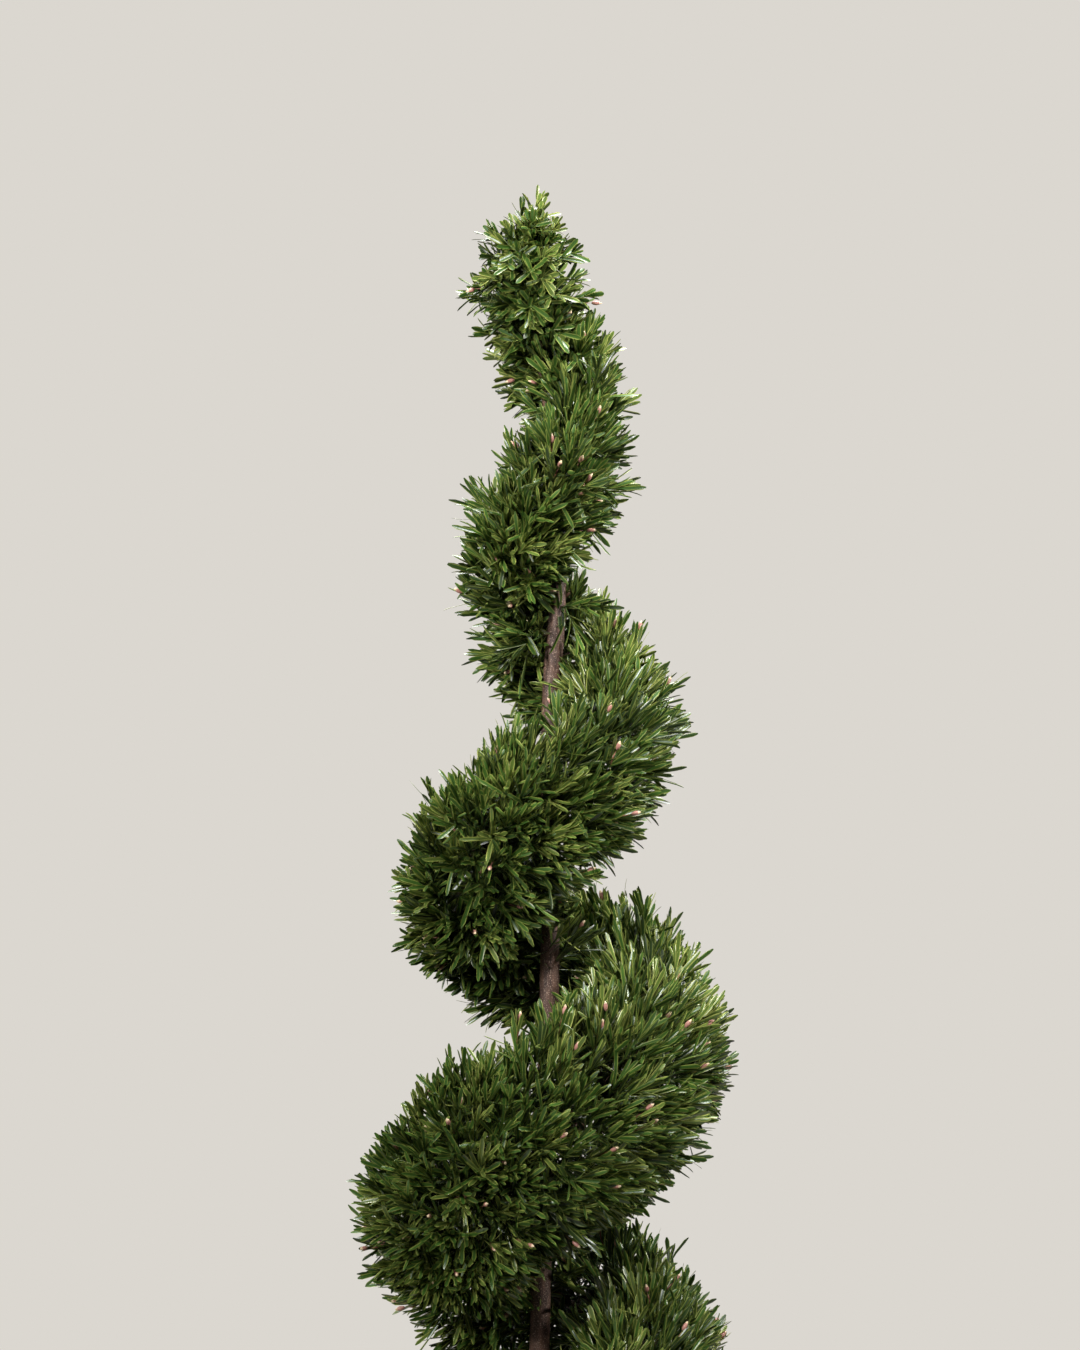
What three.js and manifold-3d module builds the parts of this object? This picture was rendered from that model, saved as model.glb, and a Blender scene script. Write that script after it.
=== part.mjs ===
// An artificial spiral topiary: a slim brown pole in a round pot, and one clipped band of narrow-leaved
// foliage that winds up the pole as a right-handed helix, thick and wide below, slim at the tip.
// Millimetres, +Z up. The origin is the centre of the pot's flat underside.
import * as THREE from "three";
import { mergeVertices } from "three/addons/utils/BufferGeometryUtils.js";
import Module from "manifold-3d";

// The band's core line. "turn" counts full turns down from the tip.
const tipCoreHeight = 1430; // the core line's upper end, above the ground
const firstPitch = 233; // drop of the first turn
const pitchGrowth = 10; // each turn adds this times turn squared
const startBearing = 192; // bearing of the upper end about the axis, degrees from +X towards +Y
const axisOffset = 11.5; // the helix's axis stands this far to +X of the pot's centre
const tipCoreRadius = 20.5; // the core line's distance from the axis at the tip
const coreRadiusGain = 56; // what that distance gains over the middle turns
const coreWidens = [0.37, 2.78]; // from this turn to this one
const lateCoreLoss = 8; // and what it loses again per turn after that
const lastTurn = 4.2; // the band's lower end

// The band's section: an upright oval round the core line.
const tipBandRadius = 49;
const bandRadiusGain = 40;
const bandThickens = [0.43, 3.28];
const ovalHeight = 1.16; // height over width
const innerShare = 0.86; // the half that faces the pole is this much shallower
const tailTurns = 0.3; // the band tapers over this share of a turn at its lower end
const tailShare = 0.72; // to this share of its radius
const tipReach = 1.3; // the rounded ends reach this share of the radius past the core line's ends
const tailReach = 0.8;
const lumpDepth = 0.035; // the clipped surface waves in and out by this share of the radius
const waists = [
  // where the band is drawn in behind the pole: turn, length in turns, share of the radius
  [1.15, 0.15, 0.08],
  [2.22, 0.17, 0.15],
];

// How the band is split into masses, four to a turn.
const turnStart = 0.153; // the first cut, below the tip tuft
const massTurns = 0.25;
const sides = ["back", "right", "front", "left"];
const coils = 4;
const gap = 0.4; // between solids that meet
const ringTurns = 0.036; // the turn from one ring of the skin to the next
const endOpening = 0.6; // how far the last ring of a rounded end stops short of its point, in steps

const potHeight = 150;
const potFootRadius = 78;
const potRimRadius = 104;
const potWall = 3;
const rimBand = 14; // height of the thickened rim
const rimProud = 3.5;
const fillDepth = 16; // the fill's surface lies this far below the rim
const poleSocket = 18; // the pole's foot stands this far above the ground, inside the fill

// The pole: its centre line, from its foot to its tip, and its radius.
const poleLine = [
  [0, 0, poleSocket],
  [-1, 1, 250],
  [2, 2, 560],
  [10, -1, 850],
  [11, -2, 1070],
  [17, 1, 1170],
  [15, 2, 1270],
  [-2, -1, 1395],
  [-6, -2, 1445],
];
const poleFootRadius = 9.8;
const poleTaper = 0.0017; // radius lost per millimetre climbed, up to the slim leader
const leaderFrom = 1120;
const leaderTipRadius = 3;
const poleClearance = 0.5;

// The foot bough ties the band's lower end to the pole.
const footBoughHeight = 178;
const footBoughRadius = 6;
const footBoughTipRadius = 5;
const footBoughKnee = 0.6; // it bends up at this share of its run
const footBoughRise = 6; // and this far above its root

const colours = {
  pot: 0x2f2f30,
  fill: 0x4a3a2e,
  bark: 0x5c4238,
  leaf: 0x4f7a2c,
};

const smooth = (from, to, x) => {
  const t = THREE.MathUtils.clamp((x - from) / (to - from), 0, 1);
  return t * t * (3 - 2 * t);
};

const wasm = await Module();
wasm.setup();

// A closed three.js geometry as a manifold-3d solid.
function solid(geometry) {
  const bare = geometry.index ? geometry.toNonIndexed() : geometry.clone();
  bare.deleteAttribute("normal");
  bare.deleteAttribute("uv");
  const merged = mergeVertices(bare, 1e-3);
  return new wasm.Manifold(
    new wasm.Mesh({
      numProp: 3,
      vertProperties: new Float32Array(merged.attributes.position.array),
      triVerts: new Uint32Array(merged.index.array),
    }),
  );
}

// A manifold-3d solid as a geometry, keeping only its largest body.
function geometryOf(made) {
  const bodies = made.decompose().sort((a, b) => b.volume() - a.volume());
  const { vertProperties, triVerts, numProp } = bodies[0].getMesh();
  const count = vertProperties.length / numProp;
  const position = new Float32Array(count * 3);
  for (let i = 0; i < count; i++)
    position.set(vertProperties.subarray(i * numProp, i * numProp + 3), i * 3);
  const geometry = new THREE.BufferGeometry();
  geometry.setAttribute("position", new THREE.BufferAttribute(position, 3));
  geometry.setIndex(new THREE.BufferAttribute(new Uint32Array(triVerts), 1));
  geometry.computeVertexNormals();
  return geometry;
}

// A closed skin over rings of points, with a fan at each end. Each ring runs the same way round.
function skin(rings) {
  const around = rings[0].length;
  const points = rings.flat();
  const middle = (ring) =>
    ring.reduce((sum, p) => sum.add(p), new THREE.Vector3()).divideScalar(around);
  const first = points.push(middle(rings[0])) - 1;
  const last = points.push(middle(rings.at(-1))) - 1;
  const index = [];
  for (let k = 0; k < around; k++) {
    const next = (k + 1) % around;
    index.push(first, next, k);
    const end = (rings.length - 1) * around;
    index.push(last, end + k, end + next);
    for (let r = 0; r < rings.length - 1; r++) {
      const [a, b] = [r * around + k, r * around + next];
      index.push(a, b, b + around, a, b + around, a + around);
    }
  }
  const geometry = new THREE.BufferGeometry().setFromPoints(points);
  geometry.setIndex(index);
  return geometry;
}

// A profile of [radius, height] pairs turned about the upright axis.
function lathe(profile) {
  const points = profile.map(([radius, height]) => new THREE.Vector2(radius, height));
  return new THREE.LatheGeometry(points, 40).rotateX(Math.PI / 2);
}

function mesh(name, geometry, colour, roughness) {
  const material = new THREE.MeshStandardMaterial({ color: colour, roughness, metalness: 0 });
  const made = new THREE.Mesh(geometry, material);
  made.name = name;
  return made;
}

const poleCurve = new THREE.CatmullRomCurve3(
  poleLine.map((p) => new THREE.Vector3(...p)),
  false,
  "centripetal",
);

// The point of the pole's centre line at a given height.
function poleAt(height) {
  let [low, high] = [0, 1];
  for (let i = 0; i < 30; i++) {
    const t = (low + high) / 2;
    if (poleCurve.getPoint(t).z < height) low = t;
    else high = t;
  }
  return poleCurve.getPoint(low).setZ(height);
}

function poleRadius(height) {
  const pole = poleFootRadius - poleTaper * (Math.min(height, leaderFrom) - poleSocket);
  const top = poleLine.at(-1)[2];
  const leader = THREE.MathUtils.clamp((height - leaderFrom) / (top - leaderFrom), 0, 1);
  return THREE.MathUtils.lerp(pole, leaderTipRadius, leader);
}

// Level rings up the pole, grown by a clearance where another solid is cut round it.
function poleGeometry(clearance) {
  const steps = 30;
  const around = 12;
  const rings = [];
  for (let i = 0; i <= steps; i++) {
    const centre = poleCurve.getPoint(i / steps);
    if (clearance && i === 0) centre.z -= clearance;
    if (clearance && i === steps) centre.z += clearance;
    const radius = poleRadius(centre.z) + clearance;
    const ring = [];
    for (let k = 0; k < around; k++) {
      const angle = (2 * Math.PI * k) / around;
      ring.push(
        new THREE.Vector3(
          centre.x + radius * Math.cos(angle),
          centre.y + radius * Math.sin(angle),
          centre.z,
        ),
      );
    }
    rings.push(ring);
  }
  return skin(rings);
}

const poleCutter = solid(poleGeometry(poleClearance));

const bearing = (turn) => THREE.MathUtils.degToRad(startBearing - 360 * turn);

const coreRadius = (turn) =>
  tipCoreRadius +
  coreRadiusGain * smooth(...coreWidens, turn) -
  lateCoreLoss * Math.max(0, turn - coreWidens[1]);

function bandRadius(turn) {
  const full = tipBandRadius + bandRadiusGain * smooth(...bandThickens, turn);
  const tail = (1 - tailShare) * smooth(lastTurn - tailTurns, lastTurn, turn);
  const drawnIn = waists.reduce(
    (sum, [at, length, share]) => sum + share * Math.exp(-(((turn - at) / length) ** 2)),
    0,
  );
  return full * (1 - tail) * (1 - drawnIn);
}

// The core line in the squashed space where the band's section is a circle.
function core(turn) {
  const height = tipCoreHeight - firstPitch * turn - pitchGrowth * turn * turn;
  const angle = bearing(turn);
  return new THREE.Vector3(
    axisOffset + coreRadius(turn) * Math.cos(angle),
    coreRadius(turn) * Math.sin(angle),
    height / ovalHeight,
  );
}

function downwards(turn) {
  const step = 0.002;
  return core(turn + step).sub(core(turn - step)).normalize();
}

// How far the clipped surface waves in and out, smooth all round and along the band.
const lumps = (turn, angle) =>
  lumpDepth *
  (Math.sin(3 * angle + 17 * turn) +
    0.8 * Math.sin(2 * angle - 29 * turn + 1) +
    0.6 * Math.sin(5 * angle + 41 * turn + 2));

// One ring round the core line: "along" moves it down the band, "share" shrinks it for a rounded end
// and "grown" widens it.
function bandRing(turn, { along = 0, share = 1, grown = 0 }) {
  const around = 16;
  const down = downwards(turn);
  const centre = core(turn).addScaledVector(down, along);
  const angle = bearing(turn);
  const out = new THREE.Vector3(Math.cos(angle), Math.sin(angle), 0);
  out.addScaledVector(down, -out.dot(down)).normalize();
  const up = new THREE.Vector3().crossVectors(down, out);
  const ring = [];
  for (let k = 0; k < around; k++) {
    const a = (2 * Math.PI * k) / around;
    const radius = bandRadius(turn) * share * (1 + lumps(turn, a)) + grown;
    const outward = Math.cos(a) * (Math.cos(a) < 0 ? innerShare : 1);
    const point = centre
      .clone()
      .addScaledVector(out, radius * outward)
      .addScaledVector(up, radius * Math.sin(a));
    point.z *= ovalHeight;
    ring.push(point);
  }
  return ring;
}

// Rings that close the band in a half ball: sign -1 above the tip, 1 below the tail.
function roundedEnd(turn, sign, reach, grown) {
  const steps = 4;
  const rings = [];
  for (let i = 1; i <= steps; i++) {
    const lift = (Math.PI / 2) * (i / (steps + endOpening));
    const along = sign * reach * Math.sin(lift);
    rings.push(bandRing(turn, { along, share: Math.cos(lift), grown }));
  }
  return sign < 0 ? rings.reverse() : rings;
}

function massGeometry(from, to, { tip = false, tail = false, grown = 0 } = {}) {
  const steps = Math.max(3, Math.round((to - from) / ringTurns));
  const rings = [];
  if (tip) rings.push(...roundedEnd(from, -1, tipReach * bandRadius(from), grown));
  for (let i = 0; i <= steps; i++) {
    const along = i === 0 && !tip ? gap / 2 : i === steps && !tail ? -gap / 2 : 0;
    rings.push(bandRing(THREE.MathUtils.lerp(from, to, i / steps), { along, grown }));
  }
  if (tail) rings.push(...roundedEnd(to, 1, tailReach * bandRadius(to) + grown, grown));
  return skin(rings);
}

function addMasses(plant) {
  const add = (name, shape) => {
    const whole = solid(shape);
    plant.add(mesh(name, geometryOf(whole.subtract(poleCutter)), colours.leaf, 0.6));
  };
  add("tip_tuft", massGeometry(0, turnStart, { tip: true }));
  for (let i = 0; i < coils * sides.length; i++) {
    const from = turnStart + i * massTurns;
    const coil = 1 + Math.floor(i / sides.length);
    add(`coil_${coil}_${sides[i % sides.length]}`, massGeometry(from, from + massTurns));
  }
  const tailFrom = turnStart + coils * sides.length * massTurns;
  add("tail_tuft", massGeometry(tailFrom, lastTurn, { tail: true }));
}

const potRadiusAt = (height) =>
  THREE.MathUtils.lerp(potFootRadius, potRimRadius, height / potHeight);

function potGeometry() {
  const rimFoot = potHeight - rimBand;
  const profile = [
    [0, 0],
    [potFootRadius - 3, 0],
    [potFootRadius, 3],
    [potRadiusAt(rimFoot), rimFoot],
    [potRadiusAt(rimFoot) + rimProud, rimFoot + 1.5],
    [potRimRadius + rimProud, potHeight - 1.5],
    [potRimRadius + rimProud - 1.5, potHeight],
    [potRimRadius - potWall + 1, potHeight],
    [potRimRadius - potWall, potHeight - 1],
    [potRadiusAt(potWall) - potWall, potWall],
    [0, potWall],
  ];
  return lathe(profile);
}

// The set fill that holds the pole, cut round it, just clear of the pot's wall.
function fillGeometry() {
  const foot = potWall + gap;
  const top = potHeight - fillDepth;
  const inside = (height) => potRadiusAt(height) - potWall - gap;
  const profile = [
    [0, foot],
    [inside(foot) - 1, foot],
    [inside(top), top],
    [inside(top) - 12, top + 2],
    [0, top + 5],
  ];
  return geometryOf(solid(lathe(profile)).subtract(poleCutter));
}

// It leaves the pole above the pot and climbs out into the band's lower end.
function footBoughGeometry() {
  const steps = 8;
  const around = 10;
  const end = core(lastTurn);
  end.z *= ovalHeight;
  const rootAt = poleAt(footBoughHeight);
  const knee = rootAt.clone().lerp(end, footBoughKnee).setZ(footBoughHeight + footBoughRise);
  const curve = new THREE.QuadraticBezierCurve3(rootAt, knee, end);
  const rings = [];
  for (let i = 0; i <= steps; i++) {
    const t = i / steps;
    const centre = curve.getPoint(t);
    const ahead = curve.getTangent(t);
    const side = new THREE.Vector3(-ahead.y, ahead.x, 0).normalize();
    const up = new THREE.Vector3().crossVectors(ahead, side);
    const radius = THREE.MathUtils.lerp(footBoughRadius, footBoughTipRadius, t);
    const ring = [];
    for (let k = 0; k < around; k++) {
      const a = (2 * Math.PI * k) / around;
      ring.push(
        centre
          .clone()
          .addScaledVector(side, radius * Math.cos(a))
          .addScaledVector(up, radius * Math.sin(a)),
      );
    }
    rings.push(ring);
  }
  const whole = solid(skin(rings));
  const tail = solid(massGeometry(lastTurn - massTurns, lastTurn, { tail: true, grown: gap }));
  return geometryOf(whole.subtract(poleCutter).subtract(tail));
}

const topiary = new THREE.Group();
topiary.add(mesh("pot", potGeometry(), colours.pot, 0.55));
topiary.add(mesh("pot_fill", fillGeometry(), colours.fill, 0.95));
topiary.add(mesh("trunk", poleGeometry(0), colours.bark, 0.8));
topiary.add(mesh("foot_bough", footBoughGeometry(), colours.bark, 0.8));
addMasses(topiary);

export default topiary;
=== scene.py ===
# An artificial spiral topiary: a brown pole in a plain pot and one clipped band of narrow glossy leaves
# that winds up it. Metres, +Z up.
import math

import bmesh
import bpy
import numpy as np
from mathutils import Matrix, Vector, noise


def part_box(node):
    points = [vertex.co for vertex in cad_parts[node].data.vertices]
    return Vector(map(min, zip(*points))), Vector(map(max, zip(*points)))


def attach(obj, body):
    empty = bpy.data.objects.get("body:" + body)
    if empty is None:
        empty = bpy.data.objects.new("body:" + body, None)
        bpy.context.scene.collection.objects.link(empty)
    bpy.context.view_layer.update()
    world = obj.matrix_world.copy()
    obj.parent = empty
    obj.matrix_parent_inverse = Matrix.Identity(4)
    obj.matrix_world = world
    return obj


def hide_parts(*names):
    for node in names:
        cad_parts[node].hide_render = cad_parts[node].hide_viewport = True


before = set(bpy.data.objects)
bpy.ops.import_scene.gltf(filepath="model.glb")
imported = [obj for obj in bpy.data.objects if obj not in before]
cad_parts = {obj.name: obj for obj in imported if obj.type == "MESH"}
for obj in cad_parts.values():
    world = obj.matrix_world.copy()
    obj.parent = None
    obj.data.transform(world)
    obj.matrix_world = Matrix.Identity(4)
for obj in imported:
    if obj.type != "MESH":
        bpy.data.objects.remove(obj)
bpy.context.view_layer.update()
scene = bpy.context.scene
print("frame loaded:", len(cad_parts), "nodes")

foliageNodes = [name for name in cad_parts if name.startswith("coil_") or name.endswith("_tuft")]

# the band's shape, as its solids have it: turns are counted down from the tip, and bearings are in degrees
band = {
    "tipCoreHeight": 1.430,
    "firstPitch": 0.233,
    "pitchGrowth": 0.010,
    "startBearing": 192,  # of the core's tip, from +X
    "axisOffset": 0.0115,
    "tipCoreRadius": 0.0205,
    "coreRadiusGain": 0.056,
    "coreWidens": (0.37, 2.78),
    "lateCoreLoss": 0.008,
    "lastTurn": 4.2,
    "tipBandRadius": 0.049,
    "bandRadiusGain": 0.040,
    "bandThickens": (0.43, 3.28),
    "ovalHeight": 1.16,
    "innerShare": 0.86,
    "tailTurns": 0.3,
    "tailShare": 0.72,
    "tipReach": 1.3,
    "tailReach": 0.8,
    "lumpDepth": 0.035,  # the clipping's unevenness, as a share of the radius, in three crossing waves
    "lumps": ((3, 17, 0, 1), (2, -29, 1, 0.8), (5, 41, 2, 0.6)),  # round the band, along it, phase, share
    "waists": ((1.15, 0.15, 0.08), (2.22, 0.17, 0.15)),  # turn, length in turns, share of the radius
}


def smooth(low, high, x):
    t = np.clip((x - low) / (high - low), 0, 1)
    return t * t * (3 - 2 * t)


def unit(v):
    return v / np.maximum(np.linalg.norm(v, axis=-1, keepdims=True), 1e-12)


def coreRadius(turn):
    late = np.maximum(0, turn - band["coreWidens"][1])
    return (band["tipCoreRadius"] + band["coreRadiusGain"] * smooth(*band["coreWidens"], turn)
            - band["lateCoreLoss"] * late)


def bandRadius(turn):
    full = band["tipBandRadius"] + band["bandRadiusGain"] * smooth(*band["bandThickens"], turn)
    tail = (1 - band["tailShare"]) * smooth(band["lastTurn"] - band["tailTurns"], band["lastTurn"], turn)
    drawnIn = sum(share * np.exp(-(((turn - at) / length) ** 2)) for at, length, share in band["waists"])
    return full * (1 - tail) * (1 - drawnIn)


def corePoint(turn):
    bearing = np.radians(band["startBearing"] - 360 * turn)
    height = band["tipCoreHeight"] - band["firstPitch"] * turn - band["pitchGrowth"] * turn * turn
    return np.stack([band["axisOffset"] + coreRadius(turn) * np.cos(bearing),
                     coreRadius(turn) * np.sin(bearing),
                     height / band["ovalHeight"]], -1)


# The band is worked out round, and this makes it taller than it is deep.
def tall(v):
    return v * np.array([1, 1, band["ovalHeight"]])


# A point on the band's surface, the way out from it and the way uphill along the band. "lift" climbs a
# rounded end: end is -1 at the tip and 1 at the tail.
def bandPoint(turn, angle, lift, end):
    step = 0.002  # turns, either way, to find which way the core runs
    down = unit(corePoint(turn + step) - corePoint(turn - step))
    bearing = np.radians(band["startBearing"] - 360 * turn)
    out = np.stack([np.cos(bearing), np.sin(bearing), np.zeros_like(bearing)], -1)
    out = unit(out - down * (out * down).sum(-1, keepdims=True))
    up = np.cross(down, out)
    lumps = band["lumpDepth"] * sum(share * np.sin(around * angle + ahead * turn + phase)
                                    for around, ahead, phase, share in band["lumps"])
    radius = bandRadius(turn) * (1 + lumps) * np.cos(lift)
    across = np.cos(angle) * np.where(np.cos(angle) < 0, band["innerShare"], 1)
    reach = np.where(end < 0, band["tipReach"], band["tailReach"]) * bandRadius(turn)
    place = (corePoint(turn) + down * (end * reach * np.sin(lift))[..., None]
             + (out * across[..., None] + up * np.sin(angle)[..., None]) * radius[..., None])
    away = ((out * np.cos(angle)[..., None] + up * np.sin(angle)[..., None]) * np.cos(lift)[..., None]
            + down * (end * np.sin(lift))[..., None])
    away = unit(away / np.array([1, 1, band["ovalHeight"]]))
    return tall(place), away, unit(tall(-down))


# An sRGB hex colour as linear RGBA.
def hexColour(text):
    values = [int(text[i:i + 2], 16) / 255 for i in (1, 3, 5)]
    return [v / 12.92 if v <= 0.04045 else ((v + 0.055) / 1.055) ** 2.4 for v in values] + [1.0]


# A node with its settings, its plain input values and its links.
def addNode(tree, kind, settings=None, values=None, links=None):
    node = tree.nodes.new(kind)
    for key, value in (settings or {}).items():
        setattr(node, key, value)
    for key, value in (values or {}).items():
        node.inputs[key].default_value = value
    for key, socket in (links or {}).items():
        tree.links.new(socket, node.inputs[key])
    return node


# A material with one plain colour. Further values are for the shader's own inputs.
def newMaterial(name, colour, roughness, **values):
    material = bpy.data.materials.new(name)
    material.use_nodes = True
    shader = material.node_tree.nodes["Principled BSDF"]
    shader.inputs["Base Color"].default_value = hexColour(colour)
    shader.inputs["Roughness"].default_value = roughness
    for key, value in values.items():
        shader.inputs[key.replace("_", " ")].default_value = value
    return material, material.node_tree, shader


def ramp(tree, factor, stops):
    node = addNode(tree, "ShaderNodeValToRGB", links={"Fac": factor})
    elements = node.color_ramp.elements
    while len(elements) < len(stops):
        elements.new(0.5)
    for element, (at, colour) in zip(elements, stops):
        element.position = at
        element.color = hexColour(colour) if isinstance(colour, str) else [colour] * 3 + [1]
    return node


# A piece that rides on the root body, and the plain nodes that it replaces.
def addPiece(name, mesh, materials, replaced):
    piece = bpy.data.objects.new(name, mesh)
    scene.collection.objects.link(piece)
    for material in materials:
        mesh.materials.append(material)
    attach(piece, "root")
    if replaced:
        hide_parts(*replaced)


# A small shape's corners, faces and face slots, read from a bmesh.
def readShape(bm, slotOf=lambda face: 0):
    bm.verts.index_update()
    faces = [[v.index for v in face.verts] for face in bm.faces]
    slots = [slotOf(face) for face in bm.faces]
    coords = np.array([v.co[:] for v in bm.verts])
    bm.free()
    return {"coords": coords[None], "faces": faces, "slots": slots}


# Many copies of a small shape as one mesh: each has its own turn, as a 3 by 3 array, and place.
def joinedCopies(name, shape, pick, turns, places, flat=False):
    count = len(places)
    local = shape["coords"][pick]
    coords = np.einsum("nij,nvj->nvi", turns, local) + places[:, None]
    corners = local.shape[1]
    loops = np.concatenate(shape["faces"])
    sizes = np.array([len(face) for face in shape["faces"]])
    mesh = bpy.data.meshes.new(name)
    mesh.vertices.add(count * corners)
    mesh.vertices.foreach_set("co", coords.astype(np.float32).ravel())
    mesh.loops.add(count * len(loops))
    allLoops = loops[None] + corners * np.arange(count)[:, None]
    mesh.loops.foreach_set("vertex_index", allLoops.astype(np.int32).ravel())
    mesh.polygons.add(count * len(sizes))
    starts = np.concatenate([[0], np.cumsum(sizes)[:-1]])[None] + len(loops) * np.arange(count)[:, None]
    mesh.polygons.foreach_set("loop_start", starts.astype(np.int32).ravel())
    mesh.polygons.foreach_set("material_index", np.tile(shape["slots"], count).astype(np.int32))
    mesh.polygons.foreach_set("use_smooth", np.full(count * len(sizes), not flat))
    mesh.update(calc_edges=True)
    return mesh


# Turns whose columns are side, along and face, from the way along and a rough way to face.
def turnsOf(along, face):
    along = unit(along)
    side = unit(np.cross(along, face))
    return np.stack([side, along, np.cross(side, along)], -1)


# Thin tapering stems as one mesh: each runs through its own few points and ends in a point.
def joinedStems(name, paths, radii, sides=3):
    count, steps = paths.shape[:2]
    along = unit(np.gradient(paths, axis=1))
    oddWay = np.array([0.31, 0.17, 0.93])  # no stem runs this way
    side = unit(np.cross(along, oddWay))
    other = np.cross(along, side)
    angles = 2 * np.pi * np.arange(sides) / sides
    ring = (side[:, :, None] * np.cos(angles)[:, None] + other[:, :, None] * np.sin(angles)[:, None])
    body = (paths[:, :, None] + ring * radii[:, :, None, None])[:, :-1].reshape(count, -1, 3)
    coords = np.concatenate([body, paths[:, -1:]], 1)
    faces = [list(range(sides))[::-1]]
    for s in range(steps - 2):
        for k in range(sides):
            n = (k + 1) % sides
            faces.append([s * sides + k, s * sides + n, (s + 1) * sides + n, (s + 1) * sides + k])
    last = (steps - 2) * sides
    faces += [[last + k, last + (k + 1) % sides, (steps - 1) * sides] for k in range(sides)]
    shape = {"coords": coords, "faces": faces, "slots": [0] * len(faces)}
    same = np.broadcast_to(np.eye(3), (count, 3, 3))
    return joinedCopies(name, shape, np.arange(count), same, np.zeros((count, 3)))


# A limb along a line of points with a radius at each, as a fine closed mesh.
def limbMesh(name, points, radii, resolution):
    curve = bpy.data.curves.new(name, "CURVE")
    curve.dimensions = "3D"
    curve.bevel_depth = 1
    curve.bevel_resolution = resolution
    curve.use_fill_caps = True
    spline = curve.splines.new("POLY")
    spline.points.add(len(points) - 1)
    for point, place, radius in zip(spline.points, points, radii):
        point.co = (*place, 1)
        point.radius = radius
    holder = bpy.data.objects.new(name, curve)
    scene.collection.objects.link(holder)
    mesh = bpy.data.meshes.new_from_object(holder.evaluated_get(bpy.context.evaluated_depsgraph_get()))
    bpy.data.objects.remove(holder)
    mesh.name = name
    bm = bmesh.new()
    bm.from_mesh(mesh)
    bmesh.ops.remove_doubles(bm, verts=bm.verts, dist=1e-6)
    bmesh.ops.recalc_face_normals(bm, faces=bm.faces)
    bm.to_mesh(mesh)
    bm.free()
    mesh.shade_smooth()
    return mesh


# Bark relief: furrows, finer across than along where the limb stands upright, and a grain over them.
def addRelief(mesh, depth, across, along, grainFineness=900, grainShare=0.25):
    for vertex in mesh.vertices:
        p = vertex.co
        furrow = noise.fractal(Vector((p.x * across, p.y * across, p.z * along)), 1.0, 2.0, 3)
        grain = noise.noise(p * grainFineness)
        vertex.co = p + vertex.normal * (depth * furrow + grainShare * depth * grain)


bark = {
    "dark": "#21140e",
    "mid": "#473024",
    "light": "#6b4e3d",
    "fleck": "#97806f",
    "tones": (0.36, 0.5, 0.66),  # where dark, mid and light lie
    "grain": 260,  # fibres, about 4 mm apart across the pole
    "stretch": 0.18,
    "grainShare": 0.7,  # the rest of the tone is in broad patches
    "patches": 45,
    "roughness": (0.75, 0.5),  # in the furrows and on the ridges
    "flecks": 950,  # pale worn flecks, about a millimetre each
    "fleckStrength": 0.75,
}


def makeBark():
    # Moulded bark over a steel rod: warm brown with pale worn flecks and a soft satin shine on its ridges.
    material, tree, shader = newMaterial("mouldedBark", bark["mid"], 0.62)
    place = addNode(tree, "ShaderNodeTexCoord").outputs["Object"]
    drawn = addNode(tree, "ShaderNodeMapping", links={"Vector": place})
    drawn.inputs["Scale"].default_value = (1, 1, bark["stretch"])
    fibres = addNode(tree, "ShaderNodeTexNoise", links={"Vector": drawn.outputs[0]},
                     values={"Scale": bark["grain"], "Detail": 6, "Roughness": 0.65})
    patches = addNode(tree, "ShaderNodeTexNoise", values={"Scale": bark["patches"], "Detail": 3},
                      links={"Vector": place})
    soft = addNode(tree, "ShaderNodeMath", {"operation": "MULTIPLY"}, {1: 1 - bark["grainShare"]},
                   {0: patches.outputs["Fac"]})
    tone = addNode(tree, "ShaderNodeMath", {"operation": "MULTIPLY_ADD"}, {1: bark["grainShare"]},
                   {0: fibres.outputs["Fac"], 2: soft.outputs[0]})
    colours = (bark["dark"], bark["mid"], bark["light"])
    colour = ramp(tree, tone.outputs[0], list(zip(bark["tones"], colours)))
    gloss = ramp(tree, fibres.outputs["Fac"], list(zip((0.3, 0.7), bark["roughness"])))
    tree.links.new(gloss.outputs["Color"], shader.inputs["Roughness"])
    flecks = addNode(tree, "ShaderNodeTexNoise", values={"Scale": bark["flecks"], "Detail": 1},
                     links={"Vector": place})
    worn = ramp(tree, flecks.outputs["Fac"], [(0.58, 0.0), (0.68, bark["fleckStrength"])])
    mixed = addNode(tree, "ShaderNodeMix", {"data_type": "RGBA"})
    tree.links.new(worn.outputs["Color"], mixed.inputs[0])
    tree.links.new(colour.outputs["Color"], mixed.inputs[6])
    mixed.inputs[7].default_value = hexColour(bark["fleck"])
    tree.links.new(mixed.outputs[2], shader.inputs["Base Color"])
    bump = addNode(tree, "ShaderNodeBump", values={"Strength": 0.6, "Distance": 0.0006},
                   links={"Height": fibres.outputs["Fac"]})
    tree.links.new(bump.outputs["Normal"], shader.inputs["Normal"])
    return material


barkMaterial = makeBark()

pole = {
    "line": [(0, 0, 18), (-1, 1, 250), (2, 2, 560), (10, -1, 850), (11, -2, 1070), (17, 1, 1170),
             (15, 2, 1270), (-2, -1, 1395), (-6, -2, 1445)],  # millimetres
    "footRadius": 0.0098,
    "taper": 0.0017,
    "leaderFrom": 1.120,
    "leaderTip": 0.003,
    "rings": 420,
    "sunk": 0.0005,  # the mesh stays this far inside its solid at each end
    "relief": (0.0007, 180, 40),  # depth, then how fine it is across and along
    "reliefRoom": 0.3,  # the radius is less by this share of that depth, so the ridges stay near the solid
}


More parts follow.
